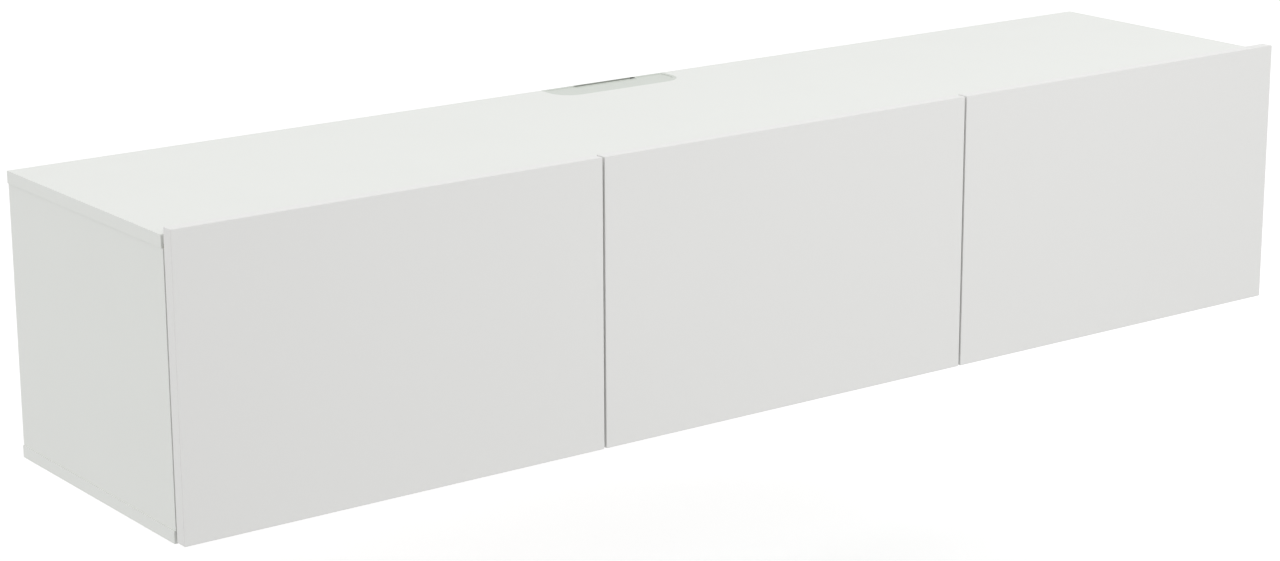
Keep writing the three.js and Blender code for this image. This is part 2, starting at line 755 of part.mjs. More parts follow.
addMesh(mediaConsole, 'top_panel', makeTop(), whiteFoil);
addMesh(mediaConsole, 'bottom_panel', makeBottom(), whiteFoil);
for (const upright of uprights) {
  addMesh(mediaConsole, upright.name, makeUpright(upright), whiteFoil);
}
addMesh(mediaConsole, 'back_panel', makeBackPanel(), paleBoard);
addMesh(mediaConsole, 'cable_outlet_trim', makeOutletTrim(), paleMoulding);
addMesh(mediaConsole, 'wall_rail', makeRail(), zincSteel);
for (const hanger of hangers) {
  addMesh(mediaConsole, hanger.name, makeHanger(hanger), zincSteel);
}
for (const bay of bays) {
  addMesh(mediaConsole, `${bay.name}_shelf`, makeShelf(bay), whiteFoil);
  addMesh(mediaConsole, `${bay.name}_door`, makeDoor(bay), whiteLacquer);
  addHinges(mediaConsole, bay);
  addLatch(mediaConsole, bay);
}

export default mediaConsole;
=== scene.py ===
# Finishes, small fittings, light and camera for a wall-hung media console with three push-to-open doors.
# Metres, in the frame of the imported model: +X to the right, +Y towards the wall, +Z up.
import json
import math

import bmesh
import bpy
from mathutils import Matrix, Vector


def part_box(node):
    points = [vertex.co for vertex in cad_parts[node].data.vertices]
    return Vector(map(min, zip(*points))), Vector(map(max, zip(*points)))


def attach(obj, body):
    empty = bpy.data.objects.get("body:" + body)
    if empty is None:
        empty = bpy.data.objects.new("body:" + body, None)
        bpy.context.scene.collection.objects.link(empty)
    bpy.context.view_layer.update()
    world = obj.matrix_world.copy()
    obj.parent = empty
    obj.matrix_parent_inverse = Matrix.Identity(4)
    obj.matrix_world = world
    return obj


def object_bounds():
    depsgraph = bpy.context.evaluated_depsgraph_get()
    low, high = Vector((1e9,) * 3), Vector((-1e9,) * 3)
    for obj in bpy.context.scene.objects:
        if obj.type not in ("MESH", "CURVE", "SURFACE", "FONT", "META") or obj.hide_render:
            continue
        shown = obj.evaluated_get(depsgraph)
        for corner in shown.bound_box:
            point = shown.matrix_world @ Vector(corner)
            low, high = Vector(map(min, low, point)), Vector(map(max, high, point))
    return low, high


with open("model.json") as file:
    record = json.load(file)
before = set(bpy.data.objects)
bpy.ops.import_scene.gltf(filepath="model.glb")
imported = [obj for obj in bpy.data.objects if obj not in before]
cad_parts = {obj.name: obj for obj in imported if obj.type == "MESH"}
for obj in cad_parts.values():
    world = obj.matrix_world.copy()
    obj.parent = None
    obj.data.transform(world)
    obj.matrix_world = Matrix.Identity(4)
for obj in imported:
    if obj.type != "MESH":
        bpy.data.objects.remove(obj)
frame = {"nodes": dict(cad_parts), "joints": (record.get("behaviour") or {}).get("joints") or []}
cad_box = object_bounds()
nodes = frame["nodes"]
pivots = {joint["name"]: Vector(joint["pos_m"]) for joint in frame["joints"] if "pos_m" in joint}

MM = 0.001
DOORS = ("left", "centre", "right")
LEVELS = ("lower", "upper")

# 1 is the right and -1 the left: the edge that each door hangs on, and the face of each upright that
# its hanger is screwed to
HUNG_ON = {"left": -1, "centre": -1, "right": 1}
UPRIGHTS = {"left_side": 1, "left_partition": 1, "right_partition": -1, "right_side": -1}

# Axes, and the outer faces of a board as an axis and the low or high side
X, Y, Z = range(3)
LEFT = (X, 0)
RIGHT = (X, 1)
FRONT = (Y, 0)
UNDER = (Z, 0)
OVER = (Z, 1)

# Camera, fitted to the photograph's corners
FRAME_WIDTH_PX = 1280
FOCAL_LENGTH_PX = 3077
SENSOR_WIDTH_MM = 36
CAMERA_PLACE = Vector((-2.458, -3.4203, 0.907))
CAMERA_YAW = math.radians(36.409)
CAMERA_PITCH = math.radians(15.209)
CAMERA_ROLL = math.radians(-0.217)
CAMERA_REACH = 100

# Room
HEIGHT_OVER_FLOOR = 0.40
FLOOR_HALF_WIDTH = 14.0
FLOOR_GLOW = 0.3
FLOOR_ROUGHNESS = 0.9
FLOOR_UNSEEN = (0.57, 0.57, 0.57, 1)
FLOOR_SEEN = (0.9, 0.9, 0.9, 1)
NO_GLOW = (0, 0, 0, 1)
FULL_GLOW = (1, 1, 1, 1)
ROOM_LIGHT = 0.86

# Each lamp: its place, what it aims at, its size and its watts
LAMPS = {
    "overhead softbox": ((3.0, -2.6, 3.0), (0.5, -0.25, 0.0), (2.2, 1.6), 23),
    "front softbox": ((0.3, -2.2, 0.7), (0.3, -0.4, 0.0), (0.9, 0.7), 5.3),
    "left softbox": ((-3.1, 0.3, 0.9), (-0.9, -0.2, -0.1), (1.4, 1.2), 5),
}

# Boards
BOARD_THICKNESS = 16 * MM
LAMINATE_MARGIN = 0.7 * MM
BACK_MARGIN = 0.4 * MM
LACQUER_MARGIN = 1.1 * MM
EDGE_BAND = 1.0 * MM
EDGE_BAND_SEAM = 0.12 * MM
FLAKE_SQUEEZE = 2.4

# Broken edges, and the angles that tell edges from flat faces
PANEL_EDGE = 0.4 * MM
UPRIGHT_EDGE = 0.3 * MM
RAIL_EDGE = 0.3 * MM
PLATE_EDGE = 0.25 * MM
ARM_EDGE = 0.2 * MM
WELD_REACH = 0.002 * MM
FLAT_ANGLE = math.radians(0.3)
SHARP_ANGLE = math.radians(35)
EDGE_STEPS = 2

# Cable outlet
SLOT_HALF_WIDTH = 52 * MM
SLOT_DEPTH = 10 * MM
# How far in from the slot's right end its near-black painted shadow reaches
END_SHADOW_REACH = 4.5 * MM
SLOT_MARGIN = 0.25 * MM

# Fittings
PLATE_SCREW_SPACING = 32 * MM
PLATE_SCREW_FROM_FRONT = 12 * MM
PLATE_SHEET = 2.5 * MM
ARM_CROWN_RISE = 14 * MM
ARM_SCREWS_FROM_REAR = (14 * MM, 33 * MM)
CUP_SCREW_SPACING = 48 * MM
CUP_EAR_MIDDLE = 27.5 * MM
HANGER_SCREW_SHARES = (0.28, 0.76)
HANGER_LENGTH = 60 * MM
LATCH_SCREW_SPACING = 23 * MM
LATCH_EAR_SHEET = 2 * MM
RAIL_SCREW_SHARES = (-0.92, -0.62, -0.32, 0.32, 0.62, 0.92)
RAIL_SHEET = 2.5 * MM
RAIL_SLOT_DROP = 3.5 * MM

# Screws: radius and rise of the head, depth of its recess, and radius and length of a shank that shows
SCREWS = {
    "euro": (3.6 * MM, 1.9 * MM, 1.2 * MM),
    "arm": (3.1 * MM, 1.4 * MM, 0.9 * MM),
    "cup": (3.8 * MM, 0.9 * MM, 0.7 * MM),
    "wood": (4.6 * MM, 2.2 * MM, 1.4 * MM),
    "wall": (4.6 * MM, 2.2 * MM, 1.4 * MM, 2.6 * MM, 3.5 * MM),
}
PAN_HEAD = ((0, 0), (0.94, 0), (1, 0.15), (0.97, 0.55), (0.8, 0.88), (0.5, 1), (0, 1))

# How far each piece is turned about its own line from the one before, in radians
SCREW_TURN = 1.1

# The tip of the driver, as shares of the head's radius, of its own reach and of the recess's depth
DRIVER_REACH_SHARE = 0.62
DRIVER_WIDTH_SHARE = 0.24
DRIVER_TAPER_SHARE = 0.55
DRIVER_LIFT_SHARE = 0.05

# Turned pieces: radius, rise, and the profile as shares of both
WASHER_RISE = 1.2 * MM
TURNED = {
    "rivet": (2.1 * MM, 0.6 * MM, ((0, 0), (1, 0), (0.95, 0.5), (0.57, 0.92), (0, 1))),
    "washer": (7.2 * MM, WASHER_RISE, ((0, 0), (1, 0), (1, 0.83), (0.96, 1), (0, 1))),
    "bumper": (4 * MM, 1.5 * MM, ((0, 0), (1, 0), (0.97, 0.35), (0.8, 0.75), (0.45, 0.95), (0, 1))),
    "cap": (8.5 * MM, 1.2 * MM, ((0, 0), (1, 0), (1, 0.45), (0.96, 0.8), (0.88, 1), (0, 1))),
}
TURNED_SIDES = 32
BUMPER_FROM_EDGE = 30 * MM
CAP_FROM_PANEL = 34 * MM
CAP_DEPTH_SHARES = (0.26, 0.74)

# Screen values: their white, and the curve between them and linear light
SCREEN_WHITE = 255
CURVE_START = 0.04045
CURVE_SLOPE = 12.92
CURVE_OFFSET = 0.055
CURVE_POWER = 2.4

# Detail of a noise: how many finer noises are laid over it
SMOOTH = 1.0
SOFT = 2.0
RAGGED = 3.0
FIBROUS = 4.0

# The sockets of a Mix node that mixes colours
MIX_FACTOR = 0
MIX_FIRST = 6
MIX_SECOND = 7
MIX_RESULT = 2


def linear(value):
    """Linear light for a screen value from 0 to 255."""
    share = value / SCREEN_WHITE
    if share <= CURVE_START:
        return share / CURVE_SLOPE
    return ((share + CURVE_OFFSET) / (1 + CURVE_OFFSET)) ** CURVE_POWER


def shade(red, green, blue):
    """A colour written in screen values, in the linear form that shaders take."""
    return (linear(red), linear(green), linear(blue), 1.0)


class Signal:
    """The output of a node. Sums and comparisons on it add their own Math nodes."""

    def __init__(self, recipe, socket):
        self.recipe = recipe
        self.socket = socket

    def math(self, operation, *values):
        return self.recipe.add("ShaderNodeMath", {"operation": operation}, dict(enumerate(values)))

    def __add__(self, other):
        return self.math("ADD", self, other)

    def __sub__(self, other):
        return self.math("SUBTRACT", self, other)

    def __rsub__(self, other):
        return self.math("SUBTRACT", other, self)

    def __mul__(self, other):
        return self.math("MULTIPLY", self, other)

    def __abs__(self):
        return self.math("ABSOLUTE", self)

    def __lt__(self, limit):
        return self.math("LESS_THAN", self, limit)

    def __gt__(self, limit):
        return self.math("GREATER_THAN", self, limit)

    def __or__(self, other):
        return self.math("MAXIMUM", self, other)

    __radd__ = __add__
    __rmul__ = __mul__
    __ror__ = __or__


class Recipe:
    """A node tree under construction."""

    def __init__(self, tree):
        self.tree = tree

    def add(self, kind, settings=None, values=None, output=0):
        """Adds a node: its settings first, then the values or links of its sockets."""
        node = self.tree.nodes.new(kind)
        for key, value in (settings or {}).items():
            if key == "stops":
                set_stops(node.color_ramp, value)
            else:
                setattr(node, key, value)
        for socket, value in (values or {}).items():
            self.feed(node.inputs[socket], value)
        return Signal(self, node.outputs[output])

    def feed(self, socket, value):
        if isinstance(value, Signal):
            self.tree.links.new(value.socket, socket)
        else:
            socket.default_value = value

    def mix(self, factor, first, second):
        """A colour between two others."""
        values = {MIX_FACTOR: factor, MIX_FIRST: first, MIX_SECOND: second}
        return self.add("ShaderNodeMix", {"data_type": "RGBA"}, values, MIX_RESULT)

    def seen(self):
        """1 for the rays that show a background: straight to the camera, off gloss and through glass."""
        kinds = ("Is Camera Ray", "Is Glossy Ray", "Is Transmission Ray")
        camera, glossy, clear = [self.add("ShaderNodeLightPath", output=kind) for kind in kinds]
        return camera | glossy | clear


class Finish(Recipe):
    """A material under construction, with the place on the piece as three signals."""

    def __init__(self, name, **constants):
        self.material = bpy.data.materials.new(name)
        self.material.use_nodes = True
        super().__init__(self.material.node_tree)
        self.shader = self.tree.nodes["Principled BSDF"]
        for socket, value in constants.items():
            self.shader.inputs[socket.replace("_", " ")].default_value = value
        self.place = self.add("ShaderNodeTexCoord", output="Object")
        self.across = [self.add("ShaderNodeSeparateXYZ", values={0: self.place}, output=axis)
                       for axis in (X, Y, Z)]

    def set(self, **values):
        """Feeds the shader's own sockets."""
        for socket, value in values.items():
            self.feed(self.shader.inputs[socket.replace("_", " ")], value)
        return self.material

    def squeezed(self, squeeze):
        return self.add("ShaderNodeMapping", values={"Vector": self.place, "Scale": squeeze})

    def noise(self, size, detail=SOFT, squeeze=None, distortion=0.0):
        """Cloudy variation from 0 to 1, whose blotches are about size across."""
        place = self.squeezed(squeeze) if squeeze else self.place
        return self.add("ShaderNodeTexNoise", values={
            "Vector": place, "Scale": 1 / size, "Detail": detail, "Distortion": distortion})

    def cells(self, size, output="Distance", squeeze=None):
        """A distance or a random colour for each of many cells, which are about size across."""
        place = self.squeezed(squeeze) if squeeze else self.place
        return self.add("ShaderNodeTexVoronoi", values={"Vector": place, "Scale": 1 / size}, output=output)

    def bump(self, height, depth, under=None):
        """A normal for a relief whose height signal runs from 0 to 1 and stands for depth metres."""
        values = {"Height": height, "Distance": depth, "Strength": 1.0}
        if under is not None:
            values["Normal"] = under
        return self.add("ShaderNodeBump", values=values)


def set_stops(ramp, stops):
    while len(ramp.elements) < len(stops):
        ramp.elements.new(1.0)
    for element, (position, colour) in zip(ramp.elements, stops):
        element.position = position
        element.color = colour


# Colours of the finishes
WHITE_FOIL = shade(236, 238, 234)
SEAM_GREY = shade(196, 197, 193)
CHIP_STOPS = ((0.0, shade(142, 114, 82)), (0.3, shade(178, 150, 112)), (0.65, shade(205, 181, 142)),
              (1.0, shade(230, 211, 177)))
WHITE_LACQUER = shade(235, 235, 233)
FIBRE_DARK = shade(112, 84, 58)
FIBRE_PALE = shade(150, 118, 86)
WHITE_PRINT = shade(232, 233, 229)
OUTLET_WHITE = shade(213, 218, 211)
# Painted shade inside the cable slot: grey on its walls, near black at its right end
PAINTED_SLOT_SHADE = shade(166, 171, 163)
PAINTED_SLOT_END_SHADOW = shade(38, 40, 36)
NICKEL = shade(205, 203, 199)

# Plain mouldings: colour and roughness
MOULDINGS = {
    "latch_moulding": (shade(168, 171, 173), 0.45),
    "bumper_rubber": (shade(205, 206, 201), 0.3),
    "cap_moulding": (shade(228, 229, 225), 0.4),
}

# Plated steels: colour, roughness, how much the rolling marks are squeezed on each axis, and their size
PLATINGS = {
    "zinc_steel": (shade(196, 199, 203), 0.28, (1, 6, 6), 0.5 * MM),
    "nickel_plate": (NICKEL, 0.2, (6, 1, 6), 0.4 * MM),
    "screw_steel": (shade(188, 190, 193), 0.24, (1, 1, 1), 0.3 * MM),
}

# The share by which each colour darkens in its clouds
FOIL_CLOUD = 0.02
LACQUER_CLOUD = 0.012
MOULDING_CLOUD = 0.03
PLATING_CLOUD = 0.12

# How far a glue line shows, how much of chipboard is dust, and how strongly fibres curl
SEAM_SHARE = 0.5
DUST_SHARE = 0.4
FIBRE_CURL = 1.5

# Roughness, and what slow drifts add to it
FOIL_ROUGHNESS = 0.38
FOIL_ROUGHNESS_DRIFT = 0.06
CORE_ROUGHNESS = 0.9
SHELF_ROUGHNESS = 0.4
PIN_ROUGHNESS = 0.25
LACQUER_ROUGHNESS = 0.35
LACQUER_ROUGHNESS_DRIFT = 0.05
LACQUER_COAT = 0.08
LACQUER_COAT_ROUGHNESS = 0.3
RAW_FIBRE_ROUGHNESS = 0.85
PRINT_ROUGHNESS = 0.5
BARE_BOARD_ROUGHNESS = 0.75
OUTLET_ROUGHNESS = 0.42
MOULDING_ROUGHNESS_DRIFT = 0.06
PLATING_PATCHES = 0.12
PLATING_MARKS = 0.08

# Sizes of slow drifts in colour and gloss
LARGE_DRIFT = 250 * MM
BOARD_DRIFT = 110 * MM
GLOSS_DRIFT = 90 * MM
MOULDING_DRIFT = 30 * MM
PLATING_DRIFT = 12 * MM
SPANGLE = 8 * MM

# Textures: the size of each and, in a pair, the depth of its relief
PEBBLE = (0.5 * MM, 0.012 * MM)
FLAKES = (1.7 * MM, 0.2 * MM)
DUST_SIZE = 0.6 * MM
LACQUER_WAVE = (3.2 * MM, 0.02 * MM)
LACQUER_GRAIN = (0.35 * MM, 0.006 * MM)
FIBRE_SIZE = 1.1 * MM
BOARD_SCREEN = (0.8 * MM, 0.03 * MM)
SPARK_TEXTURE = (0.3 * MM, 0.02 * MM)
FINE_SPARK_TEXTURE = (0.2 * MM, 0.02 * MM)
ROLLING_RELIEF = 0.006 * MM


def between(mask, off, on):
    """A value that is off where the mask is 0, and on where it is 1."""
    return mask * (on - off) + off


def near_faces(finish, node, faces, margin=LAMINATE_MARGIN):
    """1 on the named outer faces of a board, and 0 on the walls of its grooves and bores."""
    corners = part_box(node)
    mask = None
    for axis, side in faces:
        face = abs(finish.across[axis] - corners[side][axis]) < margin
        mask = face if mask is None else mask | face
    return mask


def chipboard(finish, thickness_axis):
    """The open core of a board: pale flakes that lie flat in it, with finer dust between them."""
    squeeze = tuple(FLAKE_SQUEEZE if axis == thickness_axis else 1 for axis in (X, Y, Z))
    flakes = finish.cells(FLAKES[0], "Color", squeeze)
    tone = finish.add("ShaderNodeSeparateColor", values={0: flakes})
    dust = finish.noise(DUST_SIZE, RAGGED)
    return finish.add("ShaderNodeValToRGB", {"stops": CHIP_STOPS}, {0: between(DUST_SHARE, tone, dust)})


def fibreboard(finish):
    return finish.mix(finish.noise(FIBRE_SIZE, FIBROUS, distortion=FIBRE_CURL), FIBRE_DARK, FIBRE_PALE)


def clouded(finish, colour, amount, size=BOARD_DRIFT):
    """A colour that drifts very slightly over a large face."""
    dark = tuple(channel * (1 - amount) for channel in colour[:3]) + (1.0,)
    return finish.mix(finish.noise(size, RAGGED), dark, colour)


def foil_board(node, faces, banded, thickness_axis):
    """Paper foil on chipboard, with the fine pebble of the press plate and a glue line at each edge band."""
    finish = Finish(f"{node}_foil")
    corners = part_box(node)
    laminated = near_faces(finish, node, faces)
    seam = None
    for axis, side in banded:
        inward = 1 if side == 0 else -1
        line = abs(finish.across[axis] - (corners[side][axis] + inward * EDGE_BAND)) < EDGE_BAND_SEAM
        seam = line if seam is None else seam | line
    foil = finish.mix(seam * SEAM_SHARE, clouded(finish, WHITE_FOIL, FOIL_CLOUD), SEAM_GREY)
    satin = finish.noise(GLOSS_DRIFT) * FOIL_ROUGHNESS_DRIFT + FOIL_ROUGHNESS
    pebble = finish.bump(finish.noise(PEBBLE[0], SMOOTH), PEBBLE[1])
    return finish.set(
        Base_Color=finish.mix(laminated, chipboard(finish, thickness_axis), foil),
        Roughness=between(laminated, CORE_ROUGHNESS, satin),
        Normal=finish.bump(finish.cells(FLAKES[0]), (1 - laminated) * FLAKES[1], pebble))


def shelf_board(node):
    """The same foil, and bright pins under the board's ends."""
    low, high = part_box(node)
    finish = Finish(f"{node}_foil")
    underside = high.z - BOARD_THICKNESS
    pins = finish.across[Z] < underside - LAMINATE_MARGIN / 2
    below = abs(finish.across[Z] - underside) < LAMINATE_MARGIN
    laminated = near_faces(finish, node, [FRONT, OVER]) | below
    board = finish.mix(laminated, chipboard(finish, Z), clouded(finish, WHITE_FOIL, FOIL_CLOUD))
    return finish.set(
        Base_Color=finish.mix(pins, board, NICKEL),
        Metallic=pins,
        Roughness=between(pins, SHELF_ROUGHNESS, PIN_ROUGHNESS),
        Normal=finish.bump(finish.noise(PEBBLE[0], SMOOTH), PEBBLE[1]))


def lacquered_door(node):
    """Sprayed fibreboard: a satin skin with the faint wave of lacquer, and raw board in the cup bores."""
    finish = Finish(f"{node}_lacquer", Coat_Weight=LACQUER_COAT, Coat_Roughness=LACQUER_COAT_ROUGHNESS)
    faces = [(axis, side) for axis in (X, Y, Z) for side in (0, 1)]
    skin = near_faces(finish, node, faces, LACQUER_MARGIN)
    white = clouded(finish, WHITE_LACQUER, LACQUER_CLOUD, LARGE_DRIFT)
    satin = finish.noise(LARGE_DRIFT) * LACQUER_ROUGHNESS_DRIFT + LACQUER_ROUGHNESS
    wave = finish.bump(finish.noise(LACQUER_WAVE[0], SMOOTH), LACQUER_WAVE[1])
    return finish.set(
        Base_Color=finish.mix(skin, fibreboard(finish), white),
        Roughness=between(skin, RAW_FIBRE_ROUGHNESS, satin),
        Normal=finish.bump(finish.noise(LACQUER_GRAIN[0], SMOOTH), LACQUER_GRAIN[1], wave))


def back_board(node):
    """Hard fibreboard, white towards the bays and bare brown towards the wall."""
    finish = Finish(f"{node}_board")
    white = near_faces(finish, node, [FRONT], BACK_MARGIN)
    return finish.set(
        Base_Color=finish.mix(white, fibreboard(finish), clouded(finish, WHITE_PRINT, FOIL_CLOUD)),
        Roughness=between(white, BARE_BOARD_ROUGHNESS, PRINT_ROUGHNESS),
        Normal=finish.bump(finish.noise(BOARD_SCREEN[0], RAGGED), BOARD_SCREEN[1]))


def moulded(finish, colour, roughness, texture):
    """Moulded plastic with the fine texture of a spark-eroded mould."""
    return finish.set(
        Base_Color=colour,
        Roughness=finish.noise(MOULDING_DRIFT) * MOULDING_ROUGHNESS_DRIFT + roughness,
        Normal=finish.bump(finish.noise(texture[0]), texture[1]))


def plain_moulding(name):
    colour, roughness = MOULDINGS[name]
    finish = Finish(name)
    shown = clouded(finish, colour, MOULDING_CLOUD, MOULDING_DRIFT)
    return moulded(finish, shown, roughness, FINE_SPARK_TEXTURE)


def outlet_moulding(node):
    """Pale plastic, with grey painted shade on the walls inside the cable slot, and near-black painted
    shadow at the slot's right end.
    """
    low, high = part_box(node)
    finish = Finish("outlet_moulding")
    rear = finish.across[Y] - high.y
    along = finish.across[X] - (low.x + high.x) / 2
    between_walls = (rear > -SLOT_DEPTH - SLOT_MARGIN) * (rear < -SLOT_MARGIN)
    below = finish.across[Z] < high.z - SLOT_MARGIN
    slot_shade_mask = (abs(along) < SLOT_HALF_WIDTH + SLOT_MARGIN) * between_walls * below
    # Painted shade: grey on the slot's walls, and near-black painted shadow close to its right end
    painted_slot_shade = finish.mix(along > SLOT_HALF_WIDTH - END_SHADOW_REACH, PAINTED_SLOT_SHADE, PAINTED_SLOT_END_SHADOW)
    plastic = clouded(finish, OUTLET_WHITE, MOULDING_CLOUD, MOULDING_DRIFT)
    return moulded(finish, finish.mix(slot_shade_mask, plastic, painted_slot_shade), OUTLET_ROUGHNESS, SPARK_TEXTURE)


def plated(name):
    """Plated steel: rolling marks along the sheet, and patches that are a little duller."""
    colour, roughness, squeeze, size = PLATINGS[name]
    finish = Finish(name, Metallic=1.0)
    marks = finish.noise(size, RAGGED, squeeze)
    patches = finish.noise(PLATING_DRIFT)
    return finish.set(
        Base_Color=clouded(finish, colour, PLATING_CLOUD, SPANGLE),
        Roughness=patches * PLATING_PATCHES + marks * PLATING_MARKS + roughness,
        Normal=finish.bump(marks, ROLLING_RELIEF))


def dress(node, material, broken=0.0):
    """Gives a node its finish, and breaks its sharp edges where a width is named."""
    shown = nodes[node]
    shown.data.materials.clear()
    shown.data.materials.append(material)
    normals = shown.data.attributes.get("custom_normal")
    if normals is not None:
        shown.data.attributes.remove(normals)
    for face in shown.data.polygons:
        face.use_smooth = True
    weld = shown.modifiers.new("weld", "WELD")
    weld.merge_threshold = WELD_REACH
    flat = shown.modifiers.new("flat faces", "DECIMATE")
    flat.decimate_type = "DISSOLVE"
    flat.angle_limit = FLAT_ANGLE
    if broken:
        edge = shown.modifiers.new("broken edges", "BEVEL")
        edge.width = broken
        edge.segments = EDGE_STEPS
        edge.limit_method = "ANGLE"
        edge.angle_limit = SHARP_ANGLE
        edge.harden_normals = True
    else:
        split = shown.modifiers.new("sharp edges", "EDGE_SPLIT")
        split.split_angle = SHARP_ANGLE
    even = shown.modifiers.new("even shading", "WEIGHTED_NORMAL")
    even.keep_sharp = True


def dress_nodes():
    around = [LEFT, RIGHT, FRONT]
    for node in ("top_panel", "bottom_panel"):
        dress(node, foil_board(node, around + [UNDER, OVER], around, Z), PANEL_EDGE)
    for node in UPRIGHTS:
        dress(node, foil_board(node, around, [FRONT], X), UPRIGHT_EDGE)
    dress("back_panel", back_board("back_panel"))
    dress("cable_outlet_trim", outlet_moulding("cable_outlet_trim"))
    zinc = plated("zinc_steel")
    nickel = plated("nickel_plate")
    grey = plain_moulding("latch_moulding")
    dress("wall_rail", zinc, RAIL_EDGE)
    for upright in UPRIGHTS:
        dress(f"{upright}_hanger", zinc, RAIL_EDGE)
    for door in DOORS:
        dress(f"{door}_shelf", shelf_board(f"{door}_shelf"))
        dress(f"{door}_door", lacquered_door(f"{door}_door"))
        dress(f"{door}_latch_housing", grey)
        dress(f"{door}_latch_plunger", grey)
        dress(f"{door}_latch_strike", zinc)
        for level in LEVELS:
            hinge = f"{door}_{level}_hinge"
            dress(f"{hinge}_plate", zinc, PLATE_EDGE)
            dress(f"{hinge}_arm", nickel, ARM_EDGE)
            dress(f"{hinge}_outer_link", zinc)
            dress(f"{hinge}_inner_link", zinc)
            dress(f"{hinge}_cup", nickel)


def turned_mesh(name, profile):
    """A mesh turned about +Z from a profile of radius and height, closed at both ends of the axis."""
    made = bmesh.new()
    rings = []
    for radius, height in profile:
        steps = range(TURNED_SIDES if radius else 1)
        angles = [2 * math.pi * step / TURNED_SIDES for step in steps]
        rings.append([made.verts.new((radius * math.cos(angle), radius * math.sin(angle), height))
                      for angle in angles])
    for lower, upper in zip(rings, rings[1:]):
        for step in range(TURNED_SIDES):
            after = (step + 1) % TURNED_SIDES
            corners = [lower[step % len(lower)], lower[after % len(lower)],
                       upper[after % len(upper)], upper[step % len(upper)]]
            made.faces.new(list(dict.fromkeys(corners)))
    return finished_mesh(name, made)


def cross_mesh(name, reach, width, depth, top):
    """A tapered cross, the shape of the driver's tip."""
    made = bmesh.new()
    outline = []
    for quarter in range(4):
        turn = Matrix.Rotation(math.pi / 2 * quarter, 3, "Z")
        outline += [turn @ Vector((reach, -width / 2, 0)), turn @ Vector((reach, width / 2, 0)),
                    turn @ Vector((width / 2, width / 2, 0))]
    upper = [made.verts.new((point.x, point.y, top)) for point in outline]
    lower = [made.verts.new((point.x * DRIVER_TAPER_SHARE, point.y * DRIVER_TAPER_SHARE, top - depth))
             for point in outline]
    made.faces.new(upper)
    made.faces.new(lower[::-1])
    for step in range(len(outline)):
        after = (step + 1) % len(outline)
        made.faces.new((upper[step], lower[step], lower[after], upper[after]))
    return finished_mesh(name, made)


def finished_mesh(name, made):
    bmesh.ops.recalc_face_normals(made, faces=made.faces)
    for face in made.faces:
        face.smooth = True
    mesh = bpy.data.meshes.new(name)
    made.to_mesh(mesh)
    made.free()
    return mesh


def scaled(radius, rise, shares):
    return [(across * radius, up * rise) for across, up in shares]


def screw_mesh(name, radius, rise, recess, shank_radius=0, shank_length=0):
    """A pan head with a cross recess. Its underside is at zero, and a shank can reach below it."""
    profile = scaled(radius, rise, PAN_HEAD)
    if shank_length:
        profile[:1] = [(0, -shank_length), (shank_radius, -shank_length), (shank_radius, 0)]
    head = bpy.data.objects.new(name, turned_mesh(name, profile))
    reach = radius * DRIVER_REACH_SHARE
    width = radius * DRIVER_WIDTH_SHARE
    tip = cross_mesh(f"{name}_driver", reach, width, recess, rise)
    driver = bpy.data.objects.new(f"{name}_driver", tip)
    driver.location.z = recess * DRIVER_LIFT_SHARE
    for item in (head, driver):
        bpy.context.scene.collection.objects.link(item)
    cut = head.modifiers.new("recess", "BOOLEAN")
    cut.operation = "DIFFERENCE"
    cut.object = driver
    evaluated = head.evaluated_get(bpy.context.evaluated_depsgraph_get())
    mesh = bpy.data.meshes.new_from_object(evaluated)
    mesh.name = name
    for item in (head, driver):
        bpy.data.objects.remove(item)
    return mesh


class Fittings:
    """The small pieces: the mesh and the material slot of each kind, and how many are placed."""

    def __init__(self):
        self.placed = 0
        self.kinds = {}
        steel = plated("screw_steel")
        for kind, sizes in SCREWS.items():
            self.add_kind(kind, screw_mesh(f"{kind}_screw", *sizes), steel, "zinc_steel")
        finishes = {"rivet": (steel, "zinc_steel"), "washer": (steel, "zinc_steel"),
                    "bumper": (plain_moulding("bumper_rubber"), "latch_moulding"),
                    "cap": (plain_moulding("cap_moulding"), "outlet_moulding")}
        for kind, sizes in TURNED.items():
            self.add_kind(kind, turned_mesh(kind, scaled(*sizes)), *finishes[kind])

    def add_kind(self, kind, mesh, finish, slot):
        mesh.materials.clear()
        mesh.materials.append(finish)
        self.kinds[kind] = (mesh, slot)

    def put(self, name, kind, place, facing, body="carcass"):
        """Puts a piece at a place, with its +Z along facing, and lets it ride on a body."""
        mesh, slot = self.kinds[kind]
        piece = bpy.data.objects.new(name, mesh)
        bpy.context.scene.collection.objects.link(piece)
        spin = Matrix.Rotation(SCREW_TURN * self.placed, 3, "Z")
        self.placed += 1
        aim = Vector(facing).to_track_quat("Z", "Y").to_matrix() @ spin
        piece.matrix_world = Matrix.Translation(place) @ aim.to_4x4()
        split = piece.modifiers.new("sharp edges", "EDGE_SPLIT")
        split.split_angle = SHARP_ANGLE
        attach(piece, body)


def face_x(node, side):
    """The x of a node's right face, or of its left face where side is -1."""
    low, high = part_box(node)
    return high.x if side > 0 else low.x


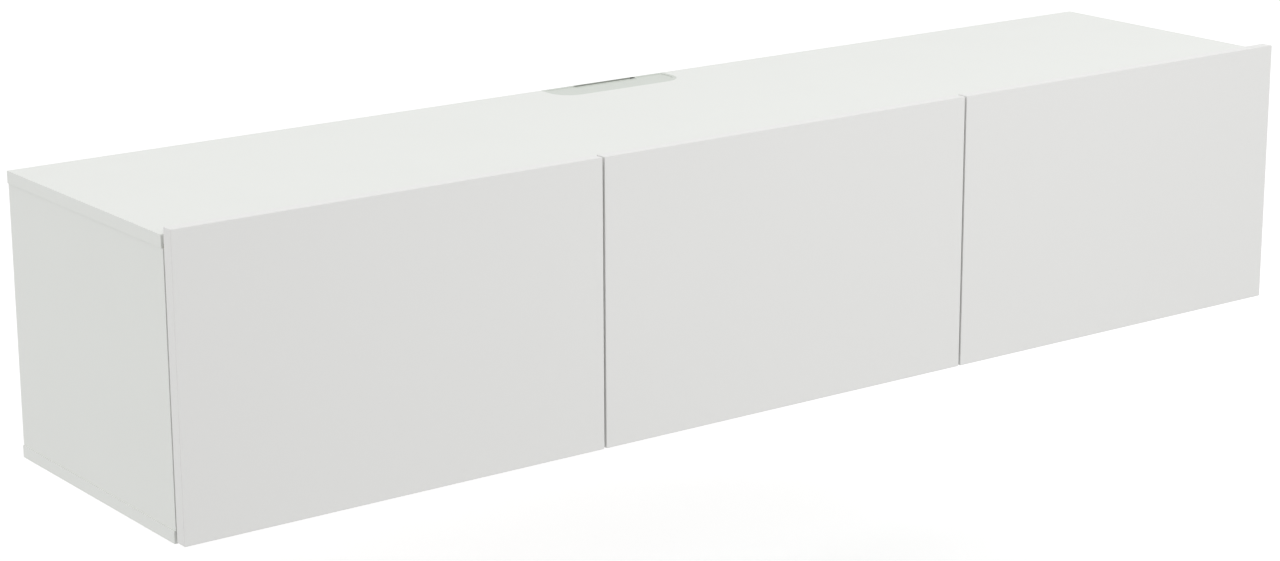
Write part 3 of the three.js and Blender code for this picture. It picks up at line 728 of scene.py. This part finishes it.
def add_hinge_fittings(fittings, door, level):
    """The screws and rivet heads of one hinge."""
    side = HUNG_ON[door]
    inward = (-side, 0, 0)
    hinge = f"{door}_{level}_hinge"
    low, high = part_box(f"{hinge}_plate")
    arm_low, arm_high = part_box(f"{hinge}_arm")
    cup_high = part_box(f"{hinge}_cup")[1]
    middle = (low.z + high.z) / 2
    face = face_x(f"{hinge}_plate", side)
    door_edge = face_x(f"{door}_door", side)
    for row, mark in enumerate((-1, 1)):
        rise = middle + mark * PLATE_SCREW_SPACING / 2
        place = (face - side * PLATE_SHEET, low.y + PLATE_SCREW_FROM_FRONT, rise)
        fittings.put(f"{hinge}_plate_screw_{row + 1}", "euro", place, inward)
        place = (door_edge - side * CUP_EAR_MIDDLE, cup_high.y, middle + mark * CUP_SCREW_SPACING / 2)
        fittings.put(f"{hinge}_cup_screw_{row + 1}", "cup", place, (0, 1, 0), f"{door}_door_leaf")
    for row, back in enumerate(ARM_SCREWS_FROM_REAR):
        place = (face - side * ARM_CROWN_RISE, arm_high.y - back, middle)
        fittings.put(f"{hinge}_arm_screw_{row + 1}", "arm", place, inward)
    for link in ("outer", "inner"):
        anchor = pivots[f"{door}_{link}_links_swing"]
        for end, mark, rise in (("bottom", -1, arm_low.z), ("top", 1, arm_high.z)):
            fittings.put(f"{hinge}_{link}_rivet_{end}", "rivet", (anchor.x, anchor.y, rise), (0, 0, mark))


def add_latch_fittings(fittings, door):
    """Two screws in each latch's ears."""
    side = HUNG_ON[door]
    low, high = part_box(f"{door}_latch_housing")
    face = face_x(f"{door}_latch_housing", -side)
    middle = (low + high) / 2
    for row, mark in enumerate((-1, 1)):
        place = (face + side * LATCH_EAR_SHEET, middle.y, middle.z + mark * LATCH_SCREW_SPACING / 2)
        fittings.put(f"{door}_latch_screw_{row + 1}", "arm", place, (side, 0, 0))


def add_wall_fittings(fittings):
    """Screws in the hangers, and washers and screws along the rail."""
    low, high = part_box("wall_rail")
    rise = (low.z + high.z) / 2
    for upright, out in UPRIGHTS.items():
        face = face_x(f"{upright}_hanger", out)
        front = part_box(f"{upright}_hanger")[0].y
        for row, share in enumerate(HANGER_SCREW_SHARES):
            place = (face, front + share * HANGER_LENGTH, rise)
            fittings.put(f"{upright}_hanger_screw_{row + 1}", "wood", place, (out, 0, 0))
    for row, share in enumerate(RAIL_SCREW_SHARES):
        place = Vector((share * high.x, high.y - RAIL_SHEET, rise - RAIL_SLOT_DROP))
        fittings.put(f"wall_screw_washer_{row + 1}", "washer", place, (0, -1, 0))
        fittings.put(f"wall_screw_{row + 1}", "wall", place - Vector((0, WASHER_RISE, 0)), (0, -1, 0))


def add_bumpers(fittings, door):
    """Soft dots at the corners of the free edge. They leave the door room to be pressed in."""
    side = HUNG_ON[door]
    across = face_x(f"{door}_door", -side) + side * BUMPER_FROM_EDGE
    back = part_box(f"{door}_door")[1].y
    for level, panel in (("upper", "top_panel"), ("lower", "bottom_panel")):
        low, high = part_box(panel)
        place = (across, back, (low.z + high.z) / 2)
        fittings.put(f"{door}_{level}_bumper", "bumper", place, (0, 1, 0), f"{door}_door_leaf")


def add_cover_caps(fittings):
    """Caps over the fittings that draw the uprights to the top and the bottom."""
    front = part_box("top_panel")[0].y
    rises = {"top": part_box("top_panel")[0].z - CAP_FROM_PANEL,
             "bottom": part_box("bottom_panel")[1].z + CAP_FROM_PANEL}
    for upright, out in UPRIGHTS.items():
        face = face_x(upright, out)
        for end, rise in rises.items():
            for row, share in enumerate(CAP_DEPTH_SHARES):
                name = f"{upright}_{end}_cap_{row + 1}"
                fittings.put(name, "cap", (face, front * share, rise), (out, 0, 0))


def add_fittings():
    fittings = Fittings()
    for door in DOORS:
        for level in LEVELS:
            add_hinge_fittings(fittings, door, level)
        add_latch_fittings(fittings, door)
        add_bumpers(fittings, door)
    add_wall_fittings(fittings)
    add_cover_caps(fittings)


def add_camera():
    data = bpy.data.cameras.new("camera")
    data.sensor_width = SENSOR_WIDTH_MM
    data.lens = FOCAL_LENGTH_PX / FRAME_WIDTH_PX * SENSOR_WIDTH_MM
    data.clip_end = CAMERA_REACH
    camera = bpy.data.objects.new("camera", data)
    aim = (Matrix.Rotation(-CAMERA_YAW, 3, "Z") @ Matrix.Rotation(math.pi / 2 - CAMERA_PITCH, 3, "X")
           @ Matrix.Rotation(CAMERA_ROLL, 3, "Z"))
    camera.matrix_world = Matrix.Translation(CAMERA_PLACE) @ aim.to_4x4()
    bpy.context.scene.collection.objects.link(camera)
    bpy.context.scene.camera = camera


def add_floor():
    """A white floor that keeps the shadow. It reads as white to the camera where nothing shades it."""
    level = cad_box[0].z - HEIGHT_OVER_FLOOR
    made = bmesh.new()
    corners = [(-1, -1), (1, -1), (1, 1), (-1, 1)]
    made.faces.new([made.verts.new((x * FLOOR_HALF_WIDTH, y * FLOOR_HALF_WIDTH, level)) for x, y in corners])
    mesh = bpy.data.meshes.new("floor")
    made.to_mesh(mesh)
    made.free()
    floor = bpy.data.objects.new("floor", mesh)
    bpy.context.scene.collection.objects.link(floor)
    finish = Finish("floor_white", Roughness=FLOOR_ROUGHNESS, Specular_IOR_Level=0.0,
                    Emission_Strength=FLOOR_GLOW)
    seen = finish.seen()
    finish.set(
        Base_Color=finish.mix(seen, FLOOR_UNSEEN, FLOOR_SEEN),
        Emission_Color=finish.mix(seen, NO_GLOW, FULL_GLOW))
    mesh.materials.append(finish.material)


def add_world():
    """Even white light from all round, and a plain white background."""
    world = bpy.data.worlds.new("studio")
    bpy.context.scene.world = world
    world.use_nodes = True
    recipe = Recipe(world.node_tree)
    background = world.node_tree.nodes["Background"]
    background.inputs["Color"].default_value = FULL_GLOW
    recipe.feed(background.inputs["Strength"], between(recipe.seen(), ROOM_LIGHT, 1))


def add_lamp(name, place, aim, size, watts):
    data = bpy.data.lights.new(name, "AREA")
    data.shape = "RECTANGLE"
    data.size, data.size_y = size
    data.energy = watts
    lamp = bpy.data.objects.new(name, data)
    lamp.location = place
    lamp.rotation_euler = (Vector(aim) - Vector(place)).to_track_quat("-Z", "Y").to_euler()
    bpy.context.scene.collection.objects.link(lamp)


bpy.context.scene.view_settings.view_transform = "Standard"
add_camera()
add_floor()
add_world()
for lamp_name, lamp_values in LAMPS.items():
    add_lamp(lamp_name, *lamp_values)
dress_nodes()
add_fittings()
